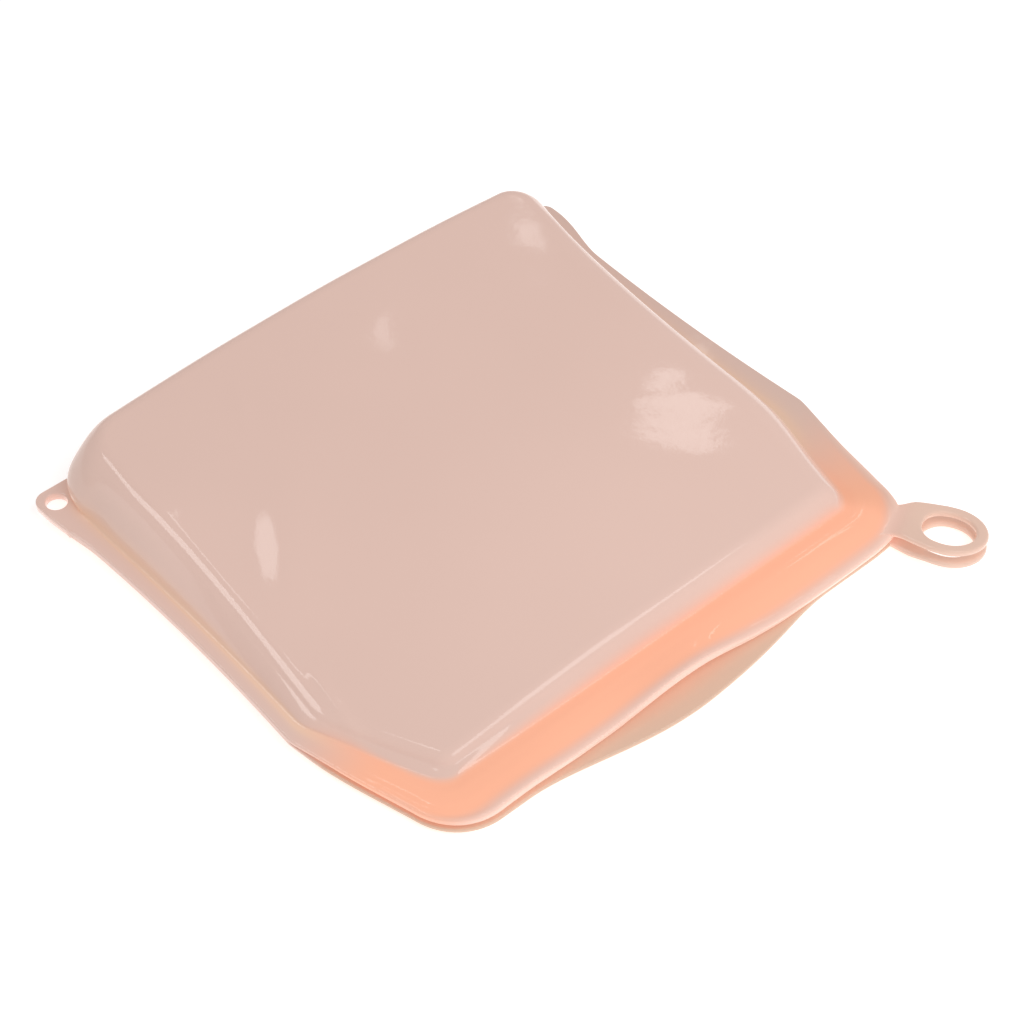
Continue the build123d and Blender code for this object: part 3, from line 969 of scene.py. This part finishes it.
# ---- CAD nodes that stay ----
rail_silicone = silicone("silicone_seal_milky", BAND, moulded=False)
for node in ("seal_inner_rail", "seal_outer_rail"):
    obj = frame["nodes"][node]
    obj.data.materials.clear()
    obj.data.materials.append(rail_silicone)

# ---- floor, camera and light, in metres ----
TARGET = Vector((0.00462, -0.00581, 0.0))
DISTANCE, ELEVATION, AZIMUTH = 0.769856, math.radians(46.748), math.radians(-41.454)
FLOOR_HALF, FLOOR_Z = 6.0, -0.0001
FLOOR_COLOUR, FLOOR_GLOW = 0.95, 0.46
WORLD_LIGHT = 0.5
OVERHEAD = 1.95                        # radiance of the big lamp
SHINE = 3.2                            # radiance of the lamps that show as highlights
WINDOW_DISTANCE = 1.3


def plain_floor():
    mesh = bpy.data.meshes.new("floor")
    corners = [(FLOOR_HALF * x, FLOOR_HALF * y, FLOOR_Z) for x, y in ((-1, -1), (1, -1), (1, 1), (-1, 1))]
    mesh.from_pydata(corners, [], [(0, 1, 2, 3)])
    floor = bpy.data.objects.new("floor", mesh)
    bpy.context.scene.collection.objects.link(floor)
    material = bpy.data.materials.new("floor_white")
    material.use_nodes = True
    shader = material.node_tree.nodes["Principled BSDF"]
    shader.inputs["Base Color"].default_value = (FLOOR_COLOUR, FLOOR_COLOUR, FLOOR_COLOUR, 1)
    shader.inputs["Roughness"].default_value = 0.9
    shader.inputs["Specular IOR Level"].default_value = 0.0
    shader.inputs["Emission Color"].default_value = (1, 1, 1, 1)
    shader.inputs["Emission Strength"].default_value = FLOOR_GLOW
    mesh.materials.append(material)


def surround():
    """Even white light from all round."""
    world = bpy.data.worlds.new("studio")
    bpy.context.scene.world = world
    world.use_nodes = True
    background = world.node_tree.nodes["Background"]
    background.inputs["Color"].default_value = (1, 1, 1, 1)
    background.inputs["Strength"].default_value = WORLD_LIGHT


def photo_camera():
    """The camera at the photo's angle."""
    data = bpy.data.cameras.new("camera")
    data.lens = 92.8
    data.sensor_width = 36.0
    data.clip_start, data.clip_end = 0.01, 20
    camera = bpy.data.objects.new("camera", data)
    level = math.cos(ELEVATION)
    back_way = Vector((math.sin(AZIMUTH) * level, -math.cos(AZIMUTH) * level, math.sin(ELEVATION)))
    camera.location = TARGET + back_way * DISTANCE
    camera.rotation_mode = "QUATERNION"
    camera.rotation_quaternion = (-back_way).to_track_quat("-Z", "Y")
    bpy.context.scene.collection.objects.link(camera)
    bpy.context.scene.camera = camera
    bpy.context.scene.view_settings.view_transform = "Standard"
    return camera.location.copy()


def lamp(name, at, aim, width, height, radiance, side=None, shows=True):
    """A rectangular lamp, whose width runs towards side. One that shows is seen in the silicone as a
    highlight and lights nothing else. The other kind lights the bag and isn't seen in it."""
    light = bpy.data.lights.new(name, "AREA")
    light.shape = "RECTANGLE"
    light.size, light.size_y = width, height
    light.energy = radiance * math.pi * width * height
    obj = bpy.data.objects.new(name, light)
    obj.location = at
    back = (Vector(at) - Vector(aim)).normalized()
    across = Vector(side) if side is not None else Vector((0, 0, 1)).cross(back)
    across = (across - back * across.dot(back)).normalized()
    obj.rotation_mode = "QUATERNION"
    obj.rotation_quaternion = Matrix((across, back.cross(across), back)).transposed().to_quaternion()
    obj.visible_diffuse = not shows
    obj.visible_glossy = shows
    obj.visible_transmission = False
    bpy.context.scene.collection.objects.link(obj)


def panel_point(x, y):
    """Where the settled panel lies at (x, y) of its moulding."""
    p = front_settle(np.array([[x, y, float(top_z(y))]]), np.ones(1), np.zeros((1, 2)))[0]
    return Vector(p) * MM


def mirror_way(x, y, eye):
    """The panel's place at (x, y), and the way in which the eye sees it mirror the surroundings."""
    here = panel_point(x, y)
    across = panel_point(x + 1, y) - panel_point(x - 1, y)
    along = panel_point(x, y + 1) - panel_point(x, y - 1)
    normal = across.cross(along).normalized()
    seen = (here - eye).normalized()
    return here, seen - 2 * seen.dot(normal) * normal


def window(name, x, y, along, across, eye, radiance):
    """A lamp whose reflection covers the panel round (x, y): along and across are half sizes in plan."""
    here, way = mirror_way(x, y, eye)
    centre = here + way * WINDOW_DISTANCE

    def on_lamp(px, py):
        place, going = mirror_way(px, py, eye)
        return place + going * ((centre - place).dot(way) / going.dot(way))

    first, second = [(on_lamp(x + dx, y + dy) - on_lamp(x - dx, y - dy)) / 2 for dx, dy in (along, across)]
    second -= first * (second.dot(first) / first.dot(first))
    lamp(name, centre, here, 2 * first.length, 2 * second.length, radiance, first)


plain_floor()
surround()
eye = photo_camera()
window("window_right", 63.5, -18.5, (8, -3), (2.5, 5.5), eye, SHINE)
window("window_left", -65.5, 16, (10, 14), (5, -3), eye, SHINE)
window("window_right_high", 64, -8, (3, -3), (3, 3.5), eye, SHINE)
window("window_middle", 10, 58, (3, 5), (2, -1), eye, SHINE * 0.7)
window("window_far", 73, 63, (3, 4.5), (3.5, -1.5), eye, SHINE * 0.8)
lamp("overhead", (0.08, -0.45, 0.56), (0, 0, 0), 0.6, 0.6, OVERHEAD, shows=False)
lamp("shoulder_left", (-0.48, 0.50, 0.95), (0, 0, 0), 0.45, 0.5, SHINE * 1.3, (1, 0.3, 0))
lamp("shoulder_front", (0.40, -0.26, 1.04), (0, -0.07, 0), 0.3, 0.4, SHINE)
